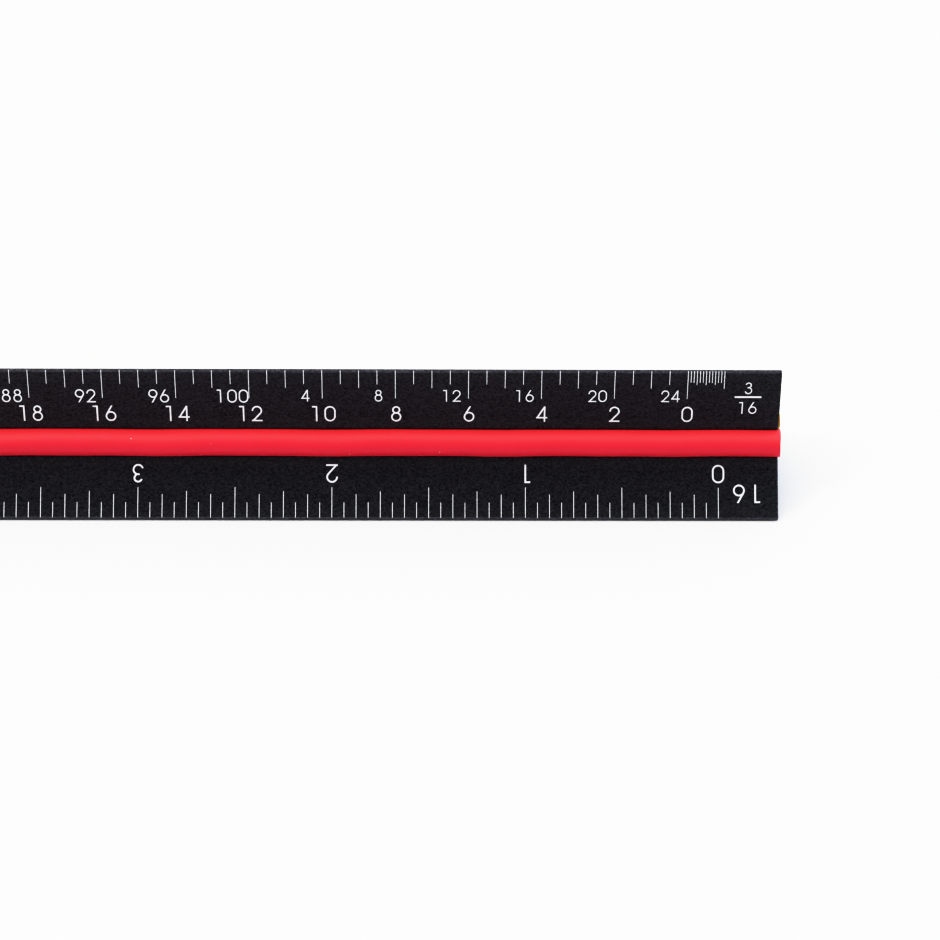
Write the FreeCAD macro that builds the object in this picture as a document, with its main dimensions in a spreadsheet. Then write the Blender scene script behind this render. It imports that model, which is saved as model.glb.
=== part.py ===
import FreeCAD, Part
import math
import os

import Sketcher

# Triangular scale ruler: a black aluminium extrusion with three hollowed faces. Each face has two
# scale lands that slope in from the rounded edges to a C-shaped groove, and a soft colour strip is
# pressed into each groove. White ink lines and numbers lie on the six lands.
#
# Frame: +X runs along the ruler, +Z is up, the front face looks towards -Y. The origin is on the
# table, half way along, under the top edge. Lengths are millimetres and angles are degrees.

DIMENSIONS = (
    # Aluminium section
    ("ruler_length", 320.8),  # twelve inches of scale and a margin at both ends
    ("tip_spacing", 19.3),  # between the centres of two rounded edges
    ("tip_radius", 0.35),
    ("land_tilt", 15.0),  # slope of a land against the plane across its two edges
    ("groove_radius", 1.9),
    ("groove_offset", 3.2),  # from the ruler's centre line to the groove's
    ("lip_radius", 0.2),
    ("end_chamfer", 0.12),
    # Colour strips: a bulb that fills the groove and a dome that shows between the lips
    ("strip_length", 320.4),
    ("bulb_radius", 1.84),
    ("dome_radius", 1.74),
    ("dome_offset", 3.75),
    ("red_overhang", 0.34),  # how far a strip's +X end stands out of the body
    ("yellow_overhang", 0.8),
    ("blue_overhang", -0.3),
    # Ink
    ("ink_thickness", 0.02),
    ("line_width", 0.092),
    ("stroke_share", 0.094),  # stroke width of a digit, for a height of 1
    ("inch_wrap_angle", 15.0),  # how far a line follows the rounded edge
    ("pair_wrap_angle", 46.0),
    ("digit_pitch", 0.8),  # cell width of a digit, for a height of 1
    # Full-inch scale, in sixteenths
    ("inch_margin", 7.9),  # from the ruler's end to zero
    ("sixteenth_line", 1.93),
    ("eighth_line", 3.0),
    ("quarter_line", 3.4),
    ("inch_line", 3.92),
    ("inch_number_height", 2.44),
    ("inch_number_top", 4.5),  # distances from the edge down the land
    ("inch_label_centre", 4.1),
    ("inch_label_top", 1.9),
    ("inch_label_pitch", 0.88),
    # Pairs of open-divided scales
    ("pair_margin", 7.5),  # from the ruler's end to the last line of the coarser scale
    ("short_line", 1.64),
    ("middle_line", 2.17),
    ("long_line", 3.64),
    ("fine_line", 1.32),
    ("coarse_number_height", 2.2),
    ("coarse_number_top", 4.74),
    ("fine_number_height", 1.86),
    ("coarse_number_shift", 0.1),  # along the land, from a number's own line
    ("fine_number_shift", 0.18),
    ("hundreds_number_height", 1.67),  # past one hundred only the last digits are shown
    ("fine_number_top", 2.42),
    ("label_centre", 4.3),
    ("label_gap", 2.75),  # from the fraction's middle to the whole number before it
    ("numerator_height", 1.66),
    ("numerator_top", 1.26),
    ("denominator_height", 1.69),
    ("denominator_top", 4.05),
    ("fraction_bar_length", 3.5),
    ("fraction_bar_width", 0.24),
    ("fraction_bar_offset", 3.35),
)

INCH = 25.4
SCALE_INCHES = 12
TIP_ANGLES = {"top": 90.0, "near": 210.0, "far": 330.0}
X_AXIS = FreeCAD.Vector(1, 0, 0)
Z_AXIS = FreeCAD.Vector(0, 0, 1)

# Six lands: name, the edge it starts from, and +1 where its numbers read along +X or -1 along -X.
# A pair of scales is given by the finer scale's unit in inches, the parts its divided unit has,
# and the labels of both scales, each as (whole number, numerator, denominator).
INCH_LAND = ("front_lower", "near", -1)
PAIR_LANDS = (
    ("front_upper", "top", 1, 3 / 32, 6, ("", "3", "32"), ("", "3", "16")),
    ("rear_upper", "top", -1, 1 / 8, 6, ("", "1", "8"), ("", "1", "4")),
    ("rear_lower", "far", 1, 1 / 2, 24, ("", "1", "2"), ("1", "", "")),
    ("base_near", "near", 1, 3 / 8, 12, ("", "3", "8"), ("", "3", "4")),
    ("base_far", "far", -1, 3 / 2, 48, ("1", "1", "2"), ("3", "", "")),
)

doc = FreeCAD.newDocument("TriangularScale")


def make_sheet():
    """The spreadsheet of driving dimensions: a name and a value in each row."""
    table = doc.addObject("Spreadsheet::Sheet", "sizes")
    for row, (name, value) in enumerate(DIMENSIONS, start=1):
        table.set(f"A{row}", name)
        table.set(f"B{row}", str(value))
        table.setAlias(f"B{row}", name)
    doc.recompute()
    return table


sheet = make_sheet()


def size(name):
    """A driving dimension, read back from the sheet."""
    return float(sheet.get(name))


# --- Helpers for the bodies ---------------------------------------------------------------------


def origin_feature(body, role):
    """One of the body's own origin planes or axes."""
    return next(f for f in body.Origin.OriginFeatures if f.Role == role)


def section_sketch(body, name):
    """An empty sketch across the ruler, on the body's YZ plane."""
    sketch = body.newObject("Sketcher::SketchObject", name)
    sketch.AttachmentSupport = [(origin_feature(body, "YZ_Plane"), "")]
    sketch.MapMode = "FlatFace"
    return sketch


def constrain(sketch, name, expression, kind, *where):
    """A named dimension of a sketch, driven by the sheet."""
    index = sketch.addConstraint(Sketcher.Constraint(kind, *where))
    sketch.renameConstraint(index, name)
    sketch.setExpression(f"Constraints.{name}", expression)


def polar(radius, angle):
    """A point of the section, by its distance from the centre line and its angle."""
    angle = math.radians(angle)
    return FreeCAD.Vector(radius * math.cos(angle), radius * math.sin(angle), 0)


def arc(centre, radius, first, last):
    """An arc of the section, counter-clockwise from the first angle to the last."""
    circle = Part.Circle(centre, Z_AXIS, radius)
    return Part.ArcOfCircle(circle, math.radians(first), math.radians(last))


# --- Aluminium body -----------------------------------------------------------------------------


def tip_distance():
    """From the centre line to the centre of a rounded edge."""
    return size("tip_spacing") / math.sqrt(3)


def centre_height():
    """Height of the ruler's centre line above the table."""
    return tip_distance() / 2 + size("tip_radius")


def valley_distance():
    """From the centre line to where the two lands of a face would meet."""
    slope = math.radians(size("land_tilt"))
    drop = size("tip_spacing") / 2 * math.tan(slope)
    return tip_distance() / 2 + size("tip_radius") / math.cos(slope) - drop


def draw_blank(sketch):
    """The outline before grooving: three rounded edges joined by lands that meet in a valley."""
    reach = 60 + size("land_tilt")
    radius = size("tip_radius")
    for angle in TIP_ANGLES.values():
        centre = polar(tip_distance(), angle)
        fall_start = centre + polar(radius, angle + reach)
        valley = polar(valley_distance(), angle + 60)
        rise_end = polar(tip_distance(), angle + 120) + polar(radius, angle + 120 - reach)
        sketch.addGeometry(arc(centre, radius, angle - reach, angle + reach))
        sketch.addGeometry(Part.LineSegment(fall_start, valley))
        sketch.addGeometry(Part.LineSegment(valley, rise_end))
    start, end, centre = 1, 2, 3
    for index in range(3):
        tip = 3 * index
        falling, rising, next_tip = tip + 1, tip + 2, (tip + 3) % 9
        sketch.addConstraint(Sketcher.Constraint("Tangent", tip, end, falling, start))
        sketch.addConstraint(Sketcher.Constraint("Coincident", falling, end, rising, start))
        sketch.addConstraint(Sketcher.Constraint("Tangent", rising, end, next_tip, start))
        sketch.addConstraint(Sketcher.Constraint("Equal", falling, rising))
    for index in (1, 2):
        sketch.addConstraint(Sketcher.Constraint("Equal", 0, 3 * index))
        sketch.addConstraint(Sketcher.Constraint("Equal", 1, 3 * index + 1))
    top, near, far = 0, 3, 6
    sketch.addConstraint(Sketcher.Constraint("PointOnObject", top, centre, -2))
    sketch.addConstraint(Sketcher.Constraint("Symmetric", near, centre, far, centre, -2))
    spacing = size("tip_spacing")
    constrain(sketch, "tip_radius", "sizes.tip_radius", "Radius", top, radius)
    constrain(
        sketch, "tip_spacing", "sizes.tip_spacing", "DistanceX", near, centre, far, centre, spacing
    )
    constrain(
        sketch, "top_height", "sizes.tip_spacing / sqrt(3)", "DistanceY", -1, 1, top, centre,
        tip_distance(),
    )
    constrain(
        sketch, "near_depth", "sizes.tip_spacing / sqrt(3) / 2", "DistanceY", near, centre, -1, 1,
        tip_distance() / 2,
    )
    slope = math.radians(size("land_tilt"))
    constrain(sketch, "land_tilt", "sizes.land_tilt * 1 deg", "Angle", near + 1, slope)


def draw_groove(sketch):
    """The round groove of the face that looks down."""
    offset, radius = size("groove_offset"), size("groove_radius")
    sketch.addGeometry(Part.Circle(FreeCAD.Vector(0, -offset, 0), Z_AXIS, radius))
    sketch.addConstraint(Sketcher.Constraint("PointOnObject", 0, 3, -2))
    constrain(sketch, "offset", "sizes.groove_offset", "DistanceY", 0, 3, -1, 1, offset)
    constrain(sketch, "radius", "sizes.groove_radius", "Radius", 0, radius)


def lip_edges(shape):
    """Names of the six long edges where a land meets a groove: the long edges nearest the axis."""
    names = []
    for number, edge in enumerate(shape.Edges, start=1):
        middle = edge.CenterOfMass
        off_axis = math.hypot(middle.y, middle.z)
        if edge.Length > 0.9 * size("ruler_length") and off_axis < tip_distance() / 2:
            names.append(f"Edge{number}")
    return names


def end_edges(shape):
    """Names of the edges around the two end faces."""
    half = size("ruler_length") / 2
    names = []
    for number, edge in enumerate(shape.Edges, start=1):
        if all(abs(abs(vertex.X) - half) < 1e-6 for vertex in edge.Vertexes):
            if edge.Length < half:
                names.append(f"Edge{number}")
    return names


def make_ruler_body():
    """The extrusion: blank, eased ends, three grooves and rounded lips."""
    body = doc.addObject("PartDesign::Body", "RulerBody")
    body.Label = "ruler_body"
    blank = section_sketch(body, "BlankSection")
    draw_blank(blank)
    pad = body.newObject("PartDesign::Pad", "Blank")
    pad.Profile = blank
    pad.setExpression("Length", "sizes.ruler_length")
    pad.Midplane = True
    doc.recompute()

    ends = body.newObject("PartDesign::Chamfer", "EasedEnds")
    ends.Base = (pad, end_edges(pad.Shape))
    ends.setExpression("Size", "sizes.end_chamfer")
    doc.recompute()

    groove = section_sketch(body, "GrooveSection")
    draw_groove(groove)
    pocket = body.newObject("PartDesign::Pocket", "Groove")
    pocket.Profile = groove
    pocket.Type = "ThroughAll"
    pocket.Midplane = True
    doc.recompute()
    if pocket.Shape.Volume > 0.97 * ends.Shape.Volume:
        raise RuntimeError("the groove cut nothing")

    grooves = body.newObject("PartDesign::PolarPattern", "ThreeGrooves")
    grooves.Originals = [pocket]
    grooves.Axis = (origin_feature(body, "X_Axis"), [""])
    grooves.Angle = 360
    grooves.Occurrences = 3
    body.Tip = grooves
    doc.recompute()

    lips = body.newObject("PartDesign::Fillet", "RoundedLips")
    lips.Base = (grooves, lip_edges(grooves.Shape))
    lips.setExpression("Radius", "sizes.lip_radius")
    body.Tip = lips
    body.setExpression(".Placement.Base.z", "sizes.tip_spacing / sqrt(3) / 2 + sizes.tip_radius")
    doc.recompute()
    return body


# --- Colour strips ------------------------------------------------------------------------------


def draw_strip(sketch):
    """The strip's section: a bulb in the groove and a dome above it, waisted at the lips."""
    low, high = size("groove_offset"), size("dome_offset")
    bulb, dome = size("bulb_radius"), size("dome_radius")
    # Height where the two circles cross, from the difference of their equations.
    waist = (bulb**2 - dome**2 + high**2 - low**2) / (2 * (high - low))
    bulb_angle = math.degrees(math.asin((waist - low) / bulb))
    dome_angle = math.degrees(math.asin((waist - high) / dome))
    sketch.addGeometry(arc(FreeCAD.Vector(0, low, 0), bulb, 180 - bulb_angle, 360 + bulb_angle))
    sketch.addGeometry(arc(FreeCAD.Vector(0, high, 0), dome, dome_angle, 180 - dome_angle))
    start, end, centre = 1, 2, 3
    sketch.addConstraint(Sketcher.Constraint("Coincident", 0, end, 1, start))
    sketch.addConstraint(Sketcher.Constraint("Coincident", 1, end, 0, start))
    sketch.addConstraint(Sketcher.Constraint("PointOnObject", 0, centre, -2))
    sketch.addConstraint(Sketcher.Constraint("PointOnObject", 1, centre, -2))
    constrain(sketch, "bulb_offset", "sizes.groove_offset", "DistanceY", -1, 1, 0, centre, low)
    constrain(sketch, "dome_offset", "sizes.dome_offset", "DistanceY", -1, 1, 1, centre, high)
    constrain(sketch, "bulb_radius", "sizes.bulb_radius", "Radius", 0, bulb)
    constrain(sketch, "dome_radius", "sizes.dome_radius", "Radius", 1, dome)


def make_strip(colour, turn):
    """A colour strip, turned about the centre line from straight up into its own groove."""
    body = doc.addObject("PartDesign::Body", f"{colour.title()}Strip")
    body.Label = f"{colour}_strip"
    section = section_sketch(body, f"{colour.title()}Section")
    draw_strip(section)
    pad = body.newObject("PartDesign::Pad", f"{colour.title()}Cord")
    pad.Profile = section
    pad.setExpression("Length", "sizes.strip_length")
    body.Placement = FreeCAD.Placement(FreeCAD.Vector(), FreeCAD.Rotation(X_AXIS, turn))
    start = f"sizes.ruler_length / 2 + sizes.{colour}_overhang - sizes.strip_length"
    body.setExpression(".Placement.Base.x", start)
    body.setExpression(".Placement.Base.z", "sizes.tip_spacing / sqrt(3) / 2 + sizes.tip_radius")
    doc.recompute()
    return body


# --- Ink: strokes and digits --------------------------------------------------------------------
# A digit stands on y = 0, starts at x = 0 and is drawn for a height, with strokes of one width.


def straight(first, last, width):
    """A straight stroke with square ends, between two points of its centre line."""
    run = FreeCAD.Vector(last[0] - first[0], last[1] - first[1], 0)
    box = Part.makeBox(run.Length, width, size("ink_thickness"), FreeCAD.Vector(0, -width / 2, 0))
    box.rotate(FreeCAD.Vector(), Z_AXIS, math.degrees(math.atan2(run.y, run.x)))
    box.translate(FreeCAD.Vector(first[0], first[1], 0))
    return box


def curved(centre, radius, first, last, width):
    """An arc stroke, counter-clockwise from the first angle to the last."""
    middle = FreeCAD.Vector(centre[0], centre[1], 0)
    thickness = size("ink_thickness")
    outer = Part.makeCylinder(radius + width / 2, thickness, middle, Z_AXIS, last - first)
    outer.rotate(middle, Z_AXIS, first)
    return outer.cut(Part.makeCylinder(radius - width / 2, thickness, middle))


def tangent_point(point, centre, radius):
    """Where a line from the point passes the circle, with the circle on its left."""
    dx, dy = centre[0] - point[0], centre[1] - point[1]
    distance = math.hypot(dx, dy)
    angle = math.atan2(dy, dx) - math.asin(radius / distance)
    reach = math.sqrt(distance**2 - radius**2)
    return point[0] + reach * math.cos(angle), point[1] + reach * math.sin(angle)


def digit_0(height, width):
    radius = (0.67 * height - width) / 2
    middle = radius + width / 2
    low, high = middle, height - middle
    return [
        curved((middle, high), radius, 0, 180, width),
        curved((middle, low), radius, 180, 360, width),
        straight((width / 2, low), (width / 2, high), width),
        straight((2 * radius + width / 2, low), (2 * radius + width / 2, high), width),
    ]


def digit_1(height, width):
    stem = 0.31 * height - width / 2
    flag = height - width / 2
    return [
        straight((stem, 0), (stem, height), width),
        straight((0, flag), (stem, flag), width),
    ]


def digit_2(height, width):
    radius = (0.62 * height - width) / 2
    centre = (radius + width / 2, height - radius - width / 2)
    foot = (0.45 * width, 0)
    touch = tangent_point(foot, centre, radius)
    lean = math.degrees(math.atan2(touch[1] - centre[1], touch[0] - centre[0]))
    return [
        curved(centre, radius, lean, 185, width),
        straight(foot, touch, width),
        straight((0, width / 2), (0.63 * height, width / 2), width),
    ]


def digit_3(height, width):
    small = 0.2 * height
    large = (height - width - 2 * small) / 2
    middle = large + width / 2
    waist = 2 * large + width / 2
    return [
        curved((middle, waist + small), small, -90, 165, width),
        curved((middle, middle), large, -165, 90, width),
        straight((middle - 0.08 * height, waist), (middle, waist), width),
    ]


def digit_4(height, width):
    stem = 0.5 * height
    beam = 0.27 * height
    return [
        straight((stem, 0), (stem, height), width),
        straight((0, beam), (0.67 * height, beam), width),
        straight((0.07 * height, beam), (stem, height - 0.2 * width), width),
    ]


def digit_5(height, width):
    radius = (0.62 * height - width) / 2
    centre = (radius + width / 2, radius + width / 2)
    shoulder = (centre[0] + radius * math.cos(math.radians(140)),
                centre[1] + radius * math.sin(math.radians(140)))
    corner = (0.17 * height, height - width / 2)
    return [
        curved(centre, radius, -160, 140, width),
        straight(shoulder, corner, width),
        straight((corner[0] - width / 2, corner[1]), (0.57 * height, corner[1]), width),
    ]


def digit_6(height, width):
    radius = (0.64 * height - width) / 2
    centre = (radius + width / 2, radius + width / 2)
    top = (0.4 * height, 1.02 * height)
    touch = tangent_point(top, centre, radius)
    return [curved(centre, radius, 0, 360, width), straight(touch, top, width)]


def digit_7(height, width):
    corner = (0.6 * height - width / 2, height - width / 2)
    return [
        straight((0, corner[1]), (0.6 * height, corner[1]), width),
        straight((0.17 * height, -0.02 * height), corner, width),
    ]


def digit_8(height, width):
    small = 0.195 * height
    large = (height - width - 2 * small) / 2
    middle = large + width / 2
    return [
        curved((middle, middle), large, 0, 360, width),
        curved((middle, 2 * large + small + width / 2), small, 0, 360, width),
    ]


def digit_9(height, width):
    strokes = digit_6(height, width)
    pivot = FreeCAD.Vector(0.32 * height, height / 2, 0)
    for stroke in strokes:
        stroke.rotate(pivot, Z_AXIS, 180)
    return strokes


DIGITS = (
    digit_0, digit_1, digit_2, digit_3, digit_4, digit_5, digit_6, digit_7, digit_8, digit_9,
)
finished_digits = {}


def digit(character, height):
    """One digit as a single solid, trimmed level at its foot and top.

    It is centred on x = 0 by its width, or by its stem if it is a 1.
    """
    if (character, height) not in finished_digits:
        width = size("stroke_share") * height
        strokes = DIGITS[int(character)](height, width)
        thickness = size("ink_thickness")
        frame = Part.makeBox(2 * height, height, thickness, FreeCAD.Vector(-height / 2, 0, 0))
        whole = strokes[0].fuse(strokes[1:]).common(frame).removeSplitter().Solids[0]
        box = whole.BoundBox
        centre = box.XMax - width / 2 if character == "1" else (box.XMin + box.XMax) / 2
        whole.translate(FreeCAD.Vector(-centre, 0, 0))
        finished_digits[character, height] = whole
    return finished_digits[character, height]


def number(text, centre, top, height, pitch):
    """The digits of a number, each in a cell of the same width, below a distance from the edge."""
    first = centre - (len(text) - 1) / 2 * pitch * height
    solids = []
    for index, character in enumerate(text):
        place = FreeCAD.Vector(first + index * pitch * height, -top - height, 0)
        solids.append(digit(character, height).translated(place))
    return solids


# --- Ink: lines ---------------------------------------------------------------------------------
# On a land, x runs along the ruler as its numbers read, y = 0 is where the land starts at the
# rounded edge, the groove is towards -y, and z stands out of the land.


def line(centre, length, wrap):
    """A graduation line down the land, that also follows the rounded edge through an angle."""
    width, thickness = size("line_width"), size("ink_thickness")
    flat = Part.makeBox(width, length, thickness, FreeCAD.Vector(centre - width / 2, -length, 0))
    radius = size("tip_radius")
    bend = FreeCAD.Vector(centre - width / 2, 0, -radius)
    cap = Part.makeCylinder(radius + thickness, width, bend, X_AXIS, wrap)
    cap.rotate(bend, X_AXIS, -wrap)
    cap = cap.cut(Part.makeCylinder(radius, width, bend, X_AXIS))
    whole = flat.fuse(cap).removeSplitter()
    if len(whole.Solids) != 1:
        raise RuntimeError("a line came apart at the rounded edge")
    return whole.Solids[0]


def lines_at(marks, wrap):
    """Lines from (position, length) pairs, made once for each length and copied along the land."""
    pattern = {}
    solids = []
    for position, length in marks:
        if length not in pattern:
            pattern[length] = line(0, length, wrap)
        solids.append(pattern[length].translated(FreeCAD.Vector(position, 0, 0)))
    return solids


def inch_marks():
    """Sixteenths of an inch, longer at eighths, quarters and halves."""
    marks = []
    for count in range(16 * SCALE_INCHES + 1):
        if count % 8 == 0:
            length = size("inch_line")
        elif count % 4 == 0:
            length = size("quarter_line")
        elif count % 2 == 0:
            length = size("eighth_line")
        else:
            length = size("sixteenth_line")
        marks.append((size("inch_margin") + count * INCH / 16, length))
    return marks


def inch_numbers():
    """The inches' numbers and the scale's label beside zero."""
    pitch, height = size("digit_pitch"), size("inch_number_height")
    solids = number(
        "16", size("inch_label_centre"), size("inch_label_top"), height, size("inch_label_pitch")
    )
    for inch in range(SCALE_INCHES + 1):
        centre = size("inch_margin") + inch * INCH
        solids += number(str(inch), centre, size("inch_number_top"), height, pitch)
    return solids


class ScalePair:
    """Two open-divided scales on one land: a fine one from the left, a coarse one from the right.

    The coarse unit is two fine units. Both share the lines between their zeros, one fine unit
    apart, and beyond its zero each has one more unit that is divided into inches or parts of one.
    """

    def __init__(self, unit, parts):
        self.pitch = unit * INCH
        self.parts = parts
        self.count = round(SCALE_INCHES / unit) - 3
        self.coarse_zero = size("ruler_length") - size("pair_margin") - 2 * self.pitch
        self.fine_zero = self.coarse_zero - self.count * self.pitch
        self.label_step = 4 if unit < 1 / 4 else 2

    def divided_unit(self, zero, length, parts):
        """The lines of a divided unit, out from its zero: length is negative towards -x."""
        group = 3 if parts <= 12 else parts // 12
        marks = []
        for part in range(1, parts + 1):
            if part == parts or (parts > 12 and part % (parts // 4) == 0):
                mark = size("middle_line")
            elif part % group == 0:
                mark = size("short_line")
            else:
                mark = size("fine_line")
            marks.append((zero + part * length / parts, mark))
        return marks

    def marks(self):
        """All lines of the pair."""
        marks = []
        for count in range(self.count + 1):
            if count % self.label_step == 0:
                length = size("long_line")
            elif count % 4 == 2:
                length = size("middle_line")
            else:
                length = size("short_line")
            marks.append((self.coarse_zero - count * self.pitch, length))
        marks += self.divided_unit(self.coarse_zero, 2 * self.pitch, 2 * self.parts)
        marks += self.divided_unit(self.fine_zero, -self.pitch, self.parts)
        return marks

    def numbers(self):
        """The coarse scale's numbers near the groove and the fine scale's nearer the edge."""
        pitch = size("digit_pitch")
        solids = []
        for count in range(0, self.count, self.label_step):
            coarse_x = self.coarse_zero - count * self.pitch + size("coarse_number_shift")
            top, height = size("coarse_number_top"), size("coarse_number_height")
            solids += number(str(count // 2), coarse_x, top, height, pitch)
            fine_x = self.fine_zero + count * self.pitch + size("fine_number_shift")
            height = size("fine_number_height")
            text = str(count)
            if count > 100:
                height = size("hundreds_number_height")
                text = str(count - 100)
            solids += number(text, fine_x, size("fine_number_top"), height, pitch)
        solids += self.inch_numbers(self.coarse_zero, 2 * self.pitch, 2 * self.parts)
        solids += self.inch_numbers(self.fine_zero, -self.pitch, self.parts)
        return solids

    def inch_numbers(self, zero, length, parts):
        """3, 6 and 9 at the quarters of a divided unit, where it has room for them."""
        if parts < 48:
            return []
        top, height = size("fine_number_top"), size("hundreds_number_height")
        solids = []
        for inch in (3, 6, 9):
            solids += number(str(inch), zero + inch / 12 * length, top, height, size("digit_pitch"))
        return solids


def scale_label(label, centre):
    """A scale's label: a whole number, a fraction over a bar, or both side by side."""
    whole, numerator, denominator = label
    pitch = size("digit_pitch")
    solids = []
    if whole:
        whole_height = size("inch_number_height")
        whole_top = size("fraction_bar_offset") - whole_height / 2
        shift = size("label_gap") / 2 if numerator else 0
        solids += number(whole, centre - shift, whole_top, whole_height, pitch)
        centre += shift
    if numerator:
        solids += number(numerator, centre, size("numerator_top"), size("numerator_height"), pitch)
        solids += number(
            denominator, centre, size("denominator_top"), size("denominator_height"), pitch
        )
        half = size("fraction_bar_length") / 2
        if len(denominator) == 1:
            half -= pitch * size("denominator_height") / 2
        level = -size("fraction_bar_offset")
        bar_width = size("fraction_bar_width")
        solids.append(straight((centre - half, level), (centre + half, level), bar_width))
    return solids


# --- Ink on the lands ---------------------------------------------------------------------------


def land_placement(edge, reading):
    """From a land's own axes to the ruler: reading is +1 along +X or -1 along -X."""
    normal = TIP_ANGLES[edge] + reading * (60 + size("land_tilt"))
    face = FreeCAD.Rotation(X_AXIS, normal - 90)
    turned = FreeCAD.Rotation(Z_AXIS, 0 if reading > 0 else 180)
    point = polar(tip_distance(), TIP_ANGLES[edge]) + polar(size("tip_radius"), normal)
    start = FreeCAD.Vector(
        -reading * size("ruler_length") / 2, point.x, point.y + centre_height()
    )
    return FreeCAD.Placement(start, face * turned)


def print_on_land(name, solids, edge, reading):
    """One layer of ink as a feature of the document."""
    layer = doc.addObject("Part::Feature", name.title().replace("_", ""))
    layer.Label = name
    layer.Shape = Part.makeCompound(solids)
    layer.Placement = land_placement(edge, reading)
    return layer


def print_scales():
    """Lines and numbers of the six lands."""
    name, edge, reading = INCH_LAND
    layers = [
        print_on_land(
            f"{name}_lines", lines_at(inch_marks(), size("inch_wrap_angle")), edge, reading
        ),
        print_on_land(f"{name}_numbers", inch_numbers(), edge, reading),
    ]
    for name, edge, reading, unit, parts, fine_label, coarse_label in PAIR_LANDS:
        pair = ScalePair(unit, parts)
        labels = scale_label(fine_label, size("label_centre"))
        labels += scale_label(coarse_label, size("ruler_length") - size("label_centre"))
        marks = lines_at(pair.marks(), size("pair_wrap_angle"))
        layers.append(print_on_land(f"{name}_lines", marks, edge, reading))
        layers.append(print_on_land(f"{name}_numbers", pair.numbers() + labels, edge, reading))
    return layers


# --- Build, check and write ---------------------------------------------------------------------

pieces = [
    make_ruler_body(),
    make_strip("red", 60),
    make_strip("yellow", -60),
    make_strip("blue", 180),
]
pieces += print_scales()
doc.recompute()

for item in doc.Objects:
    if "Invalid" in item.State or "Error" in item.State:
        raise RuntimeError(f"{item.Label} failed")
for piece in pieces:
    if piece.Shape.isNull() or not piece.Shape.isValid():
        raise RuntimeError(f"{piece.Label} has no valid shape")

os.makedirs("parts", exist_ok=True)
for piece in pieces:
    piece.Shape.exportStep(f"parts/{piece.Label}.step")
    print(piece.Label, len(piece.Shape.Solids), round(piece.Shape.Volume, 3))
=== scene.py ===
import math
import random

import bmesh
import bpy
from mathutils import Euler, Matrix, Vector


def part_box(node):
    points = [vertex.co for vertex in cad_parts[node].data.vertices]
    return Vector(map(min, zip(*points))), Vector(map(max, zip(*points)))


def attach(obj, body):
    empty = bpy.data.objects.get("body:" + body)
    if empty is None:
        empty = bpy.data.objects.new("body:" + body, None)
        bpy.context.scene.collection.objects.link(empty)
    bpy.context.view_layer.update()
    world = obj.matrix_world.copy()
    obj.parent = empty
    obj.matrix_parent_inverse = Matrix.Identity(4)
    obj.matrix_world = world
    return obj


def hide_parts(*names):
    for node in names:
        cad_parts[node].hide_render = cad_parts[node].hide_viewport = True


# Looks of the triangular scale ruler: blasted black aluminium, printed white ink, three soft
# colour cords, and the studio it lies in. Blender works in metres, and the numbers below are
# millimetres and degrees unless they say otherwise.

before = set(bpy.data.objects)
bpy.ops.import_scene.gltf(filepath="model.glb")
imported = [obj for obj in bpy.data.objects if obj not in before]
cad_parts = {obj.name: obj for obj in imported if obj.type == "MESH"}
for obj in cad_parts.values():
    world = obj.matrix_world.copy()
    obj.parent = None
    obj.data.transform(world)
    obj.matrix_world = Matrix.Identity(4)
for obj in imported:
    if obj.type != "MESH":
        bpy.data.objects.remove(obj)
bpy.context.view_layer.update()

MM = 0.001  # metres
BODY = "root"


# --- Places read from the frame -----------------------------------------------------------------

body_low, body_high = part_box("ruler_body")
WIDTH = (body_high.y - body_low.y) / MM
HEIGHT = (body_high.z - body_low.z) / MM
HALF_LENGTH = (body_high.x - body_low.x) / 2 / MM
# The section's outline is an equilateral triangle with rounded edges. With D from the centre line
# to an edge's centre and R the edge's radius, WIDTH = sqrt(3) D + 2 R and HEIGHT = 1.5 D + 2 R.
TIP_DISTANCE = (WIDTH - HEIGHT) / (math.sqrt(3) - 1.5)
TIP_RADIUS = (HEIGHT - 1.5 * TIP_DISTANCE) / 2
AXIS_HEIGHT = body_low.z / MM + TIP_RADIUS + TIP_DISTANCE / 2
LIP_DISTANCE = 4.9  # from the centre line to where the lighter band at a groove's lips, partly wear and partly painted highlight, starts to fade


# --- Node helpers -------------------------------------------------------------------------------


def node(tree, kind, inputs=None, **settings):
    """A shader node, its inputs given as values or as sockets to link."""
    made = tree.nodes.new(kind)
    for name, value in settings.items():
        setattr(made, name, value)
    for name, value in (inputs or {}).items():
        if isinstance(value, bpy.types.NodeSocket):
            tree.links.new(value, made.inputs[name])
        else:
            made.inputs[name].default_value = value
    return made


def maths(tree, operation, first, second=0.0):
    """Arithmetic on two values or sockets."""
    return node(tree, "ShaderNodeMath", {0: first, 1: second}, operation=operation).outputs[0]


def rise(tree, value, low, high):
    """From 0 at low to 1 at high, with a smooth step between them."""
    inputs = {"Value": value, "From Min": low, "From Max": high}
    made = node(tree, "ShaderNodeMapRange", inputs, interpolation_type="SMOOTHSTEP")
    return made.outputs["Result"]


def between(tree, share, low, high):
    """A value from low to high as share goes from 0 to 1."""
    inputs = {"Value": share, "To Min": low, "To Max": high}
    return node(tree, "ShaderNodeMapRange", inputs).outputs["Result"]


def mixed(tree, share, first, second):
    """Two colours, mixed by a share from 0 to 1."""
    inputs = {0: share, 6: first, 7: second}
    return node(tree, "ShaderNodeMix", inputs, data_type="RGBA").outputs[2]


def scaled(tree, vector, scale):
    """A vector or a colour times a number."""
    inputs = {0: vector, "Scale": scale}
    return node(tree, "ShaderNodeVectorMath", inputs, operation="SCALE").outputs[0]


def cosine(tree, first, second):
    """The dot product of two directions."""
    inputs = {0: first, 1: second}
    return node(tree, "ShaderNodeVectorMath", inputs, operation="DOT_PRODUCT").outputs["Value"]


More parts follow.
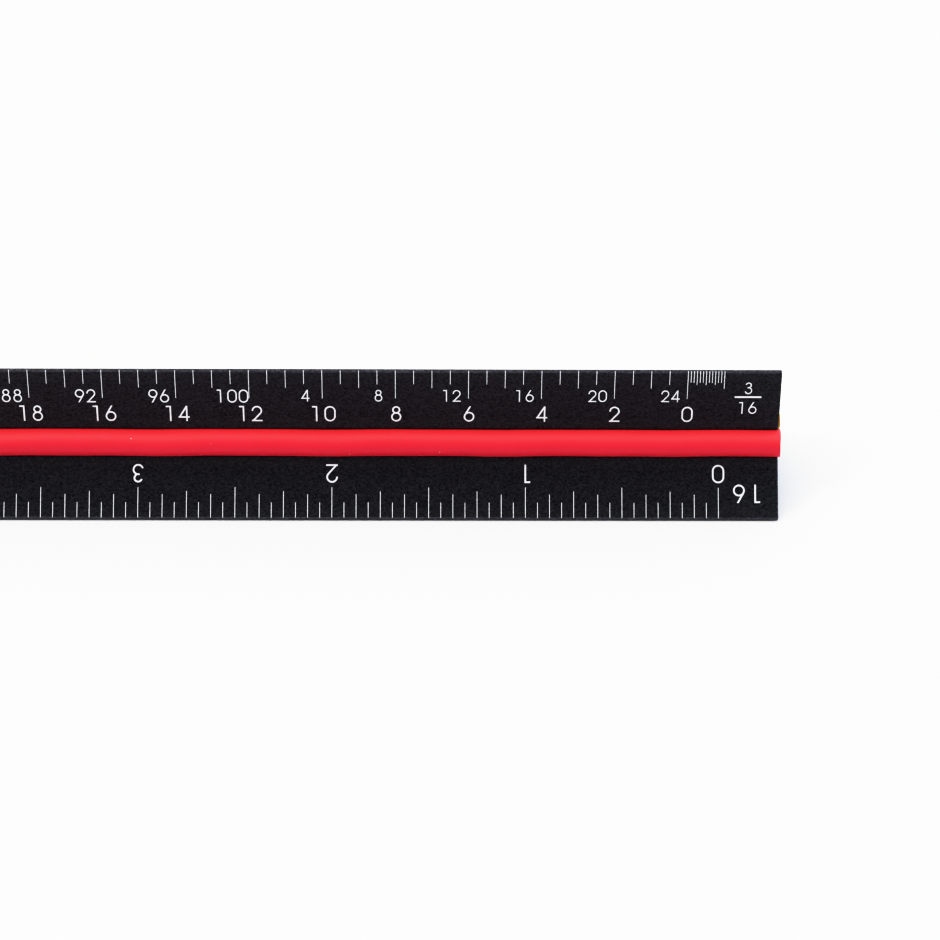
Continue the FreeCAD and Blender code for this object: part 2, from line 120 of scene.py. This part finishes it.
def millimetres(tree):
    """The point's place in the object's frame, in millimetres."""
    return scaled(tree, node(tree, "ShaderNodeTexCoord").outputs["Object"], 1 / MM)


def facing(tree, normal):
    """The parts along X, Y and Z of a normal of the surface: "Normal" or "True Normal"."""
    direction = node(tree, "ShaderNodeNewGeometry").outputs[normal]
    return node(tree, "ShaderNodeSeparateXYZ", {"Vector": direction}).outputs


def grain(tree, place, size, detail=2.0, roughness=0.5, distortion=0.0):
    """Noise whose features are about size millimetres across."""
    inputs = {
        "Vector": place,
        "Scale": 1 / size,
        "Detail": detail,
        "Roughness": roughness,
        "Distortion": distortion,
    }
    return node(tree, "ShaderNodeTexNoise", inputs).outputs["Fac"]


def specks(tree, place, spacing, radius, share):
    """Small round dots on a share of the cells of a random grid: 1 inside a dot, 0 elsewhere."""
    cells = node(tree, "ShaderNodeTexVoronoi", {"Vector": place, "Scale": 1 / spacing})
    distance = maths(tree, "MULTIPLY", cells.outputs["Distance"], spacing)
    inside = rise(tree, distance, radius, radius * 0.4)
    tint = node(tree, "ShaderNodeSeparateColor", {"Color": cells.outputs["Color"]})
    chosen = maths(tree, "LESS_THAN", tint.outputs["Red"], share)
    return maths(tree, "MULTIPLY", inside, chosen)


def bump(tree, height, depth, normal=None):
    """A bump whose full height is depth millimetres."""
    inputs = {"Height": height, "Strength": 1.0, "Distance": depth * MM}
    if normal is not None:
        inputs["Normal"] = normal
    return node(tree, "ShaderNodeBump", inputs).outputs["Normal"]


def new_material(name):
    """An empty node material and its tree."""
    material = bpy.data.materials.new(name)
    material.use_nodes = True
    material.node_tree.nodes.clear()
    return material, material.node_tree


def finish_material(tree, **inputs):
    """Ends a tree with one Principled surface."""
    named = {name.replace("_", " "): value for name, value in inputs.items()}
    surface = node(tree, "ShaderNodeBsdfPrincipled", named)
    node(tree, "ShaderNodeOutputMaterial", {"Surface": surface.outputs[0]})


# --- Black anodised aluminium -------------------------------------------------------------------

# Pits darker and peaks lighter: the blasted grain's own tone, partly painted shade in the pits and
# painted highlight on the peaks.
PIT_COLOUR, PEAK_COLOUR = (0.0002, 0.0002, 0.0004, 1), (0.0044, 0.0044, 0.0062, 1)
CLOUD_COLOUR = (0.005, 0.005, 0.0068, 1)
# Lighter colours for the edges, lips and rims: partly wear, partly painted highlight and painted
# reflection.
WEAR_AND_HIGHLIGHT_COLOUR = (0.05, 0.047, 0.054, 1)
RUB_AND_REFLECTION_COLOUR = (0.16, 0.15, 0.17, 1)
RIM_RUB_AND_HIGHLIGHT_COLOUR = (0.1, 0.094, 0.108, 1)
BARE_COLOUR = (0.72, 0.71, 0.7, 1)
SHEEN_TINT = (0.77, 0.8, 1.0, 1)
BRUSH_TURN = (0.0, math.radians(-25), 0.0)
BRUSH_STRETCH = (0.75, 1.0, 1.25)
BLAST_GRAIN, FINE_GRAIN, CLOUD_GRAIN, CHIP_GRAIN = 0.25, 0.12, 18.0, 0.7
TIP_WEAR_AND_HIGHLIGHT = 2.0  # how far down the lands the lighter band of the rounded edges, wear and painted highlight, reaches
LIP_WEAR_AND_HIGHLIGHT = 0.6  # how far beyond LIP_DISTANCE the lighter band of the groove's lips, wear and painted highlight, has faded out
RIM_WIDTH = 0.25  # of the lighter rims at the two ends: rubbed anodising and painted highlight on the end chamfers


def radial_distance(tree, axes):
    """How far a point is from the ruler's centre line, in millimetres."""
    up = maths(tree, "SUBTRACT", axes["Z"], AXIS_HEIGHT)
    across = maths(tree, "MULTIPLY", axes["Y"], axes["Y"])
    return maths(tree, "SQRT", maths(tree, "ADD", across, maths(tree, "MULTIPLY", up, up)))


def anodised_material():
    """Blasted black finish, bare where the ends are nicked; its rounded edges, groove lips and end
    rims are lighter, partly from wear and partly as painted highlight and reflection.
    """
    material, tree = new_material("black_anodised_blasted")
    place = millimetres(tree)
    brush = {"Vector": place, "Rotation": BRUSH_TURN, "Scale": BRUSH_STRETCH}
    brushed = node(tree, "ShaderNodeMapping", brush).outputs[0]
    coarse = grain(tree, brushed, BLAST_GRAIN, detail=3.0, roughness=0.65, distortion=0.6)
    pebbles = rise(tree, coarse, 0.32, 0.68)
    fine = grain(tree, place, FINE_GRAIN)
    cloud = grain(tree, place, CLOUD_GRAIN)

    axes = node(tree, "ShaderNodeSeparateXYZ", {"Vector": place}).outputs
    radial = radial_distance(tree, axes)
    # Lighter towards the rounded edges and the groove lips: partly wear, partly painted highlight
    # where they catch the light.
    near_tip = rise(tree, radial, TIP_DISTANCE - TIP_WEAR_AND_HIGHLIGHT, TIP_DISTANCE + 0.1)
    near_lip = rise(tree, radial, LIP_DISTANCE + LIP_WEAR_AND_HIGHLIGHT, LIP_DISTANCE)
    wear_and_highlight = maths(tree, "MAXIMUM", near_tip, near_lip)
    # The rounded edges themselves: a speckled lighter band, partly rubbed anodising, partly painted
    # reflection of the pale floor.
    tip = rise(tree, radial, TIP_DISTANCE + 0.06, TIP_DISTANCE + 0.14)
    rub_and_reflection = maths(tree, "MULTIPLY", tip, between(tree, pebbles, 0.45, 1.0))

    along = maths(tree, "ABSOLUTE", axes["X"])
    near_end = rise(tree, along, HALF_LENGTH - RIM_WIDTH, HALF_LENGTH - 0.08)
    end_face = rise(tree, maths(tree, "ABSOLUTE", facing(tree, "True Normal")["X"]), 0.9, 0.97)
    rim = maths(tree, "MULTIPLY", near_end, maths(tree, "SUBTRACT", 1.0, end_face))
    chips = rise(tree, grain(tree, place, CHIP_GRAIN, detail=4.0, roughness=0.7), 0.62, 0.66)
    bare = maths(tree, "MULTIPLY", rim, chips)
    # Lighter end rims: partly rubbed anodising, partly painted highlight on the end chamfers.
    rim_rub_and_highlight = maths(tree, "MULTIPLY", rim, between(tree, pebbles, 0.1, 0.5))

    # Base colour follows the grain's relief: painted shade in the pits, painted highlight on the
    # peaks.
    shade = mixed(tree, pebbles, PIT_COLOUR, PEAK_COLOUR)
    for layer, strength, colour in (
        (cloud, 0.3, CLOUD_COLOUR),
        (wear_and_highlight, 0.2, WEAR_AND_HIGHLIGHT_COLOUR),
        (rub_and_reflection, 0.62, RUB_AND_REFLECTION_COLOUR),
        (rim_rub_and_highlight, 1.0, RIM_RUB_AND_HIGHLIGHT_COLOUR),
        (bare, 1.0, BARE_COLOUR),
    ):
        shade = mixed(tree, between(tree, layer, 0.0, strength), shade, colour)
    polish = maths(tree, "MULTIPLY", bare, 0.2)
    finish_material(
        tree,
        Base_Color=shade,
        Metallic=bare,
        Roughness=maths(tree, "SUBTRACT", between(tree, fine, 0.34, 0.48), polish),
        Specular_IOR_Level=between(tree, pebbles, 0.2, 0.84),
        Specular_Tint=SHEEN_TINT,
        Normal=bump(tree, fine, 0.02, bump(tree, pebbles, 0.16)),
    )
    return material


# --- Ink, cord and paper ------------------------------------------------------------------------

INK_COLOUR, THIN_INK_COLOUR = (0.81, 0.815, 0.84, 1), (0.42, 0.425, 0.44, 1)
DUST_COLOUR = (0.9, 0.8, 0.76, 1)
PAPER_COLOURS = (0.9, 0.9, 0.9, 1), (0.905, 0.905, 0.905, 1)


def ink_material():
    """White printed ink, slightly thin in places so that its white is uneven."""
    material, tree = new_material("white_printed_ink")
    place = millimetres(tree)
    thin = rise(tree, grain(tree, place, 0.22, detail=3.0, roughness=0.7), 0.5, 0.72)
    finish_material(
        tree,
        Base_Color=mixed(tree, between(tree, thin, 0.0, 0.5), INK_COLOUR, THIN_INK_COLOUR),
        Roughness=between(tree, thin, 0.5, 0.75),
        Specular_IOR_Level=0.3,
        Normal=bump(tree, grain(tree, place, 0.1), 0.004),
    )
    return material


def cord_material(name, colour, painted_shade_colour):
    """Satin rubbery cord with fine pimples and a few specks of dust, with painted shade: darker the
    less its surface faces up.
    """
    material, tree = new_material(name)
    place = millimetres(tree)
    mottle = grain(tree, place, 6.0, detail=3.0)
    skin = grain(tree, place, 0.25, detail=3.0, roughness=0.6)
    dust = specks(tree, place, 1.3, 0.11, 0.26)
    lightness = (between(tree, mottle, 1.06, 0.94), between(tree, skin, 1.1, 0.9))
    # Painted shade: the colour turns to the darker one as the surface turns away from facing up.
    shade = mixed(tree, rise(tree, facing(tree, "Normal")["Z"], 0.9, 0.2), colour, painted_shade_colour)
    shade = scaled(tree, shade, maths(tree, "MULTIPLY", *lightness))
    finish_material(
        tree,
        Base_Color=mixed(tree, between(tree, dust, 0.0, 0.7), shade, DUST_COLOUR),
        Roughness=between(tree, skin, 0.42, 0.58),
        Specular_IOR_Level=0.45,
        Normal=bump(tree, maths(tree, "ADD", skin, dust), 0.02),
    )
    return material


def floor_material():
    """Matt white paper."""
    material, tree = new_material("white_paper")
    fibre = grain(tree, millimetres(tree), 1.5, detail=4.0)
    colour = mixed(tree, fibre, *PAPER_COLOURS)
    finish_material(tree, Base_Color=colour, Roughness=1.0, Specular_IOR_Level=0.0)
    return material


# --- Colour cords -------------------------------------------------------------------------------
# A point of a cord's section is given by its distance outward from the ruler's centre line and its
# place across the groove. The section is a bulb inside the groove and a dome between the lips.

BULB_OFFSET, BULB_RADIUS = 3.2, 1.84
DOME_OFFSET, DOME_RADIUS = 3.75, 1.74
ROOT = BULB_OFFSET - BULB_RADIUS  # the bulb's innermost point
CREST = DOME_OFFSET + DOME_RADIUS  # the dome's outermost point
MIDDLE = (BULB_OFFSET + DOME_OFFSET) / 2
ARC_STEPS = 26
STATION_STEP = 1.0  # along the cord
RIM_RADIUS = 0.06  # rounding of a cut end
RIM_STEPS = 4
CAP_RINGS = 6
WAVES = 5  # sine waves in a random curve along the cord
WAVE_SIZES = (0.5, 1.0)  # relative to each other
WAVE_LENGTHS = (9, 34)
WANDER = 0.1  # how far the crest strays sideways and in height
SWELL = 0.02  # how much the dome grows and shrinks, as a share of its width
CUT_UNEVENNESS = 0.05
CUT_ACROSS, CUT_OUTWARD = 9, 5  # how fast a cut's unevenness changes across and outward
CUT_REACH = 4.0  # how far along the cord a cut's shape fades out

# For each strip: the turn of its face about the ruler; how far its crest leans across the groove;
# how far the crest is drawn back at the +X cut, and by what power of the way out; and its seed.
CORDS = {
    "red_strip": {"turn": 150, "lean": 0.115, "recess": 0.3, "power": 4.0, "seed": 11},
    "yellow_strip": {"turn": 30, "lean": 0.05, "recess": 1.55, "power": 2.5, "seed": 22},
    "blue_strip": {"turn": 270, "lean": -0.06, "recess": 0.1, "power": 2.0, "seed": 33},
}
# For each strip: its colour, and the darker colour painted on as shade where the cord faces down.
CORD_COLOURS = {
    "red_strip": ((0.92, 0.054, 0.077, 1), (0.69, 0.022, 0.066, 1)),
    "yellow_strip": ((0.86, 0.53, 0.05, 1), (0.74, 0.42, 0.03, 1)),
    "blue_strip": ((0.02, 0.13, 0.62, 1), (0.012, 0.08, 0.45, 1)),
}


def cord_outline():
    """Points round the section: the bulb's arc and then the dome's, which meet at the waist."""
    squares = BULB_RADIUS**2 - DOME_RADIUS**2 + DOME_OFFSET**2 - BULB_OFFSET**2
    waist = squares / (2 * (DOME_OFFSET - BULB_OFFSET))
    bulb_half = math.pi - math.acos((waist - BULB_OFFSET) / BULB_RADIUS)
    dome_half = math.acos((waist - DOME_OFFSET) / DOME_RADIUS)
    points = []
    for offset, radius, heading, half in (
        (BULB_OFFSET, BULB_RADIUS, math.pi, bulb_half),
        (DOME_OFFSET, DOME_RADIUS, 0.0, dome_half),
    ):
        for step in range(ARC_STEPS):
            angle = heading - half + 2 * half * step / ARC_STEPS
            points.append((offset + radius * math.cos(angle), -radius * math.sin(angle)))
    return points


class Wander:
    """A smooth random curve along the cord, from a few sine waves."""

    def __init__(self, seed):
        draw = random.Random(seed)
        self.waves = []
        for _ in range(WAVES):
            size = draw.uniform(*WAVE_SIZES)
            rate = 2 * math.pi / draw.uniform(*WAVE_LENGTHS)
            phase = draw.uniform(0, 2 * math.pi)
            self.waves.append((size, rate, phase))
        self.total = sum(size for size, _, _ in self.waves)

    def at(self, along):
        """The curve's height at a place in millimetres, between -1 and 1."""
        value = sum(size * math.sin(rate * along + phase) for size, rate, phase in self.waves)
        return value / self.total


def cord_stations(low, high):
    """Places along the cord, and how far the outline is drawn in at each, round the cut rims."""
    rim = []
    for step in range(RIM_STEPS + 1):
        angle = math.pi / 2 * step / RIM_STEPS
        rim.append((RIM_RADIUS * (1 - math.sin(angle)), RIM_RADIUS * (1 - math.cos(angle))))
    stations = [(low + x, inset) for x, inset in reversed(rim)]
    count = round((high - low) / STATION_STEP)
    for step in range(1, count):
        stations.append((low + RIM_RADIUS + (high - low - 2 * RIM_RADIUS) * step / count, 0.0))
    stations += [(high - x, inset) for x, inset in rim]
    return stations


class Cord:
    """The visible cord in place of a plain strip: swept, wandering, with soft uneven cut ends."""

    def __init__(self, node_name):
        low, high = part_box(node_name)
        self.low_x, self.high_x = low.x / MM, high.x / MM
        self.shape = CORDS[node_name]
        turn = math.radians(self.shape["turn"])
        self.outward = Vector((0, math.cos(turn), math.sin(turn)))
        self.sideways = Vector((0, -math.sin(turn), math.cos(turn)))
        seed = self.shape["seed"]
        self.sway, self.lift, self.swell = (Wander(seed + index) for index in range(3))
        self.plus_cut, self.minus_cut = Wander(seed + 3), Wander(seed + 4)
        self.outline = cord_outline()
        self.mesh = bmesh.new()

    def nudge(self, x, out, across, free):
        """How far a point moves along the cord, for the uneven shape of the nearer cut."""
        spot = across * CUT_ACROSS + out * CUT_OUTWARD
        if x > 0:
            shape = CUT_UNEVENNESS * self.plus_cut.at(spot)
            shape -= self.shape["recess"] * free ** self.shape["power"]
        else:
            shape = -CUT_UNEVENNESS * self.minus_cut.at(spot)
        end_gap = min(self.high_x - x, x - self.low_x)
        return shape * max(0.0, 1 - end_gap / CUT_REACH)

    def ring(self, x, inset, shrink=0.0):
        """One loop of vertices round the cord, moved in from its outline."""
        made = []
        for out, across in self.outline:
            arm = out - MIDDLE
            keep = (1 - inset / math.hypot(arm, across)) * (1 - shrink)
            out, across = MIDDLE + arm * keep, across * keep
            free = max(0.0, (out - ROOT) / (CREST - ROOT))
            lean = self.shape["lean"] + WANDER * self.sway.at(x)
            swelling = 1 + SWELL * self.swell.at(x) * free
            place = Vector((x + self.nudge(x, out, across, free), 0, AXIS_HEIGHT))
            place += self.outward * (out + WANDER * self.lift.at(x) * free)
            place += self.sideways * (across * swelling + lean * free)
            made.append(self.mesh.verts.new(place * MM))
        return made

    def skin(self, first, second):
        """Quads between two loops."""
        for index in range(len(first)):
            after = (index + 1) % len(first)
            self.mesh.faces.new((first[index], first[after], second[after], second[index]))

    def build(self):
        """The whole skin: a cap, the stations along the cord and the other cap."""
        caps = [step / CAP_RINGS for step in range(1, CAP_RINGS)]
        loops = [self.ring(self.low_x, RIM_RADIUS, shrink) for shrink in reversed(caps)]
        loops += [self.ring(x, inset) for x, inset in cord_stations(self.low_x, self.high_x)]
        loops += [self.ring(self.high_x, RIM_RADIUS, shrink) for shrink in caps]
        for first, second in zip(loops, loops[1:]):
            self.skin(first, second)
        self.mesh.faces.new(loops[0][::-1])
        self.mesh.faces.new(loops[-1])
        bmesh.ops.recalc_face_normals(self.mesh, faces=self.mesh.faces)


def mesh_object(name, mesh, material):
    """An object of one material in the scene, from a bmesh that is then freed."""
    data = bpy.data.meshes.new(name)
    mesh.to_mesh(data)
    mesh.free()
    data.materials.append(material)
    made = bpy.data.objects.new(name, data)
    bpy.context.scene.collection.objects.link(made)
    return made


def make_cord(node_name):
    """A cord that replaces a strip of the CAD model and moves with the body."""
    cord = Cord(node_name)
    cord.build()
    name = node_name.replace("_strip", "_cord")
    colour, painted_shade_colour = CORD_COLOURS[node_name]
    material = cord_material(name.replace("_cord", "_satin_cord"), colour, painted_shade_colour)
    piece = mesh_object(name, cord.mesh, material)
    for face in piece.data.polygons:
        face.use_smooth = True
    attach(piece, BODY)
    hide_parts(node_name)


# --- Studio -------------------------------------------------------------------------------------

FLOOR_SIZE = 6.0  # metres
FLOOR_GAP = 0.01  # between the floor and the ruler
KEY_DIRECTION = Vector((-1.17, -0.34, 1.0)).normalized()  # towards the key light
KEY_DISTANCE = 1.5  # metres
KEY_SIZE = 0.32  # metres
KEY_POWER = 3.4  # watts
KEY_COLOUR = (1.0, 0.93, 0.74)
DOME_BRIGHT, DOME_DIM = 1.13, 0.13  # overhead and behind the ruler, and on the camera's side
DOME_DIRECTION = (0.0, 0.5, 0.866)  # towards the brightest part
WARM_COLOUR, COOL_COLOUR = (1.0, 0.965, 0.88, 1), (0.74, 0.83, 1.0, 1)
WARM_DIRECTION = (-0.66, 0.5, 0.56)  # towards the warmest part
FLAG_DIRECTION = (0.0, -0.7, 0.71)  # towards the camera and whoever stands behind it, both dark
# Cosines of the angles from those directions at which each effect starts and is full
DOME_SPREAD, WARM_SPREAD, FLAG_SPREAD = (-0.6, 0.95), (-0.2, 1.0), (0.8, 0.95)

# The camera's response to scene light: deep blacks, and a long soft shoulder into white.
RESPONSE = (
    (0.015, 0.0105),
    (0.04, 0.031),
    (0.12, 0.17),
    (0.22, 0.47),
    (0.32, 0.73),
    (0.42, 0.885),
    (0.55, 0.945),
    (0.75, 0.985),
)
ALL_CHANNELS = 3  # the curve that acts on red, green and blue alike

CAMERA_LENS = 91.16
CAMERA_DISTANCE = 0.3115  # metres
CAMERA_AIM = Vector((0.1198, -0.00659, 0.00592))  # metres
CAMERA_AZIMUTH, CAMERA_ELEVATION, CAMERA_ROLL = 1.327, 40.637, 0.952


def make_floor():
    """A plain pale floor under the ruler."""
    mesh = bmesh.new()
    bmesh.ops.create_grid(mesh, x_segments=8, y_segments=8, size=FLOOR_SIZE / 2)
    floor = mesh_object("floor", mesh, floor_material())
    floor.location.z = body_low.z - FLOOR_GAP * MM


def make_key_light():
    """A square light that looks at the ruler from the left."""
    data = bpy.data.lights.new("key", "AREA")
    data.size = KEY_SIZE
    data.energy = KEY_POWER
    data.color = KEY_COLOUR
    light = bpy.data.objects.new("key", data)
    light.location = CAMERA_AIM + KEY_DIRECTION * KEY_DISTANCE
    light.rotation_mode = "QUATERNION"
    light.rotation_quaternion = (-KEY_DIRECTION).to_track_quat("-Z", "Y")
    bpy.context.scene.collection.objects.link(light)


def make_dome():
    """Soft light from overhead and behind, dimmer from the camera's side and dark at the camera."""
    world = bpy.data.worlds.new("studio")
    world.use_nodes = True
    tree = world.node_tree
    tree.nodes.clear()
    direction = node(tree, "ShaderNodeTexCoord").outputs["Generated"]
    bright = rise(tree, cosine(tree, direction, DOME_DIRECTION), *DOME_SPREAD)
    flagged = rise(tree, cosine(tree, direction, FLAG_DIRECTION), *FLAG_SPREAD)
    warm = rise(tree, cosine(tree, direction, WARM_DIRECTION), *WARM_SPREAD)
    strength = between(tree, bright, DOME_DIM, DOME_BRIGHT)
    strength = maths(tree, "MULTIPLY", strength, between(tree, flagged, 1.0, 0.0))
    colour = mixed(tree, warm, COOL_COLOUR, WARM_COLOUR)
    light = node(tree, "ShaderNodeBackground", {"Color": colour, "Strength": strength})
    node(tree, "ShaderNodeOutputWorld", {"Surface": light.outputs[0]})
    bpy.context.scene.world = world


def make_camera():
    """A long lens close above the right end, turned to look along its azimuth and elevation."""
    azimuth, elevation, roll = map(math.radians, (CAMERA_AZIMUTH, CAMERA_ELEVATION, CAMERA_ROLL))
    level = Vector((math.sin(azimuth), math.cos(azimuth), 0.0))
    ahead = level * math.cos(elevation) - Vector((0, 0, math.sin(elevation)))
    data = bpy.data.cameras.new("camera")
    data.lens = CAMERA_LENS
    data.clip_start = 0.01
    camera = bpy.data.objects.new("camera", data)
    camera.location = CAMERA_AIM - ahead * CAMERA_DISTANCE
    turn = ahead.to_track_quat("-Z", "Y").to_matrix() @ Euler((0, 0, roll)).to_matrix()
    camera.rotation_mode = "QUATERNION"
    camera.rotation_quaternion = turn.to_quaternion()
    bpy.context.scene.collection.objects.link(camera)
    bpy.context.scene.camera = camera


def set_response():
    """A plain display transform with the camera's response curve before it."""
    view = bpy.context.scene.view_settings
    view.view_transform = "Standard"
    view.use_curve_mapping = True
    curve = view.curve_mapping.curves[ALL_CHANNELS]
    for light, tone in RESPONSE:
        curve.points.new(light, tone)
    view.curve_mapping.update()


# --- Scene --------------------------------------------------------------------------------------

body_finish = anodised_material()
ink_finish = ink_material()
for name, cad_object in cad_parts.items():
    if name == "ruler_body":
        cad_object.data.materials[0] = body_finish
    elif name.endswith(("_lines", "_numbers")):
        cad_object.data.materials[0] = ink_finish

for strip in CORDS:
    make_cord(strip)

make_floor()
make_dome()
make_key_light()
make_camera()
set_response()
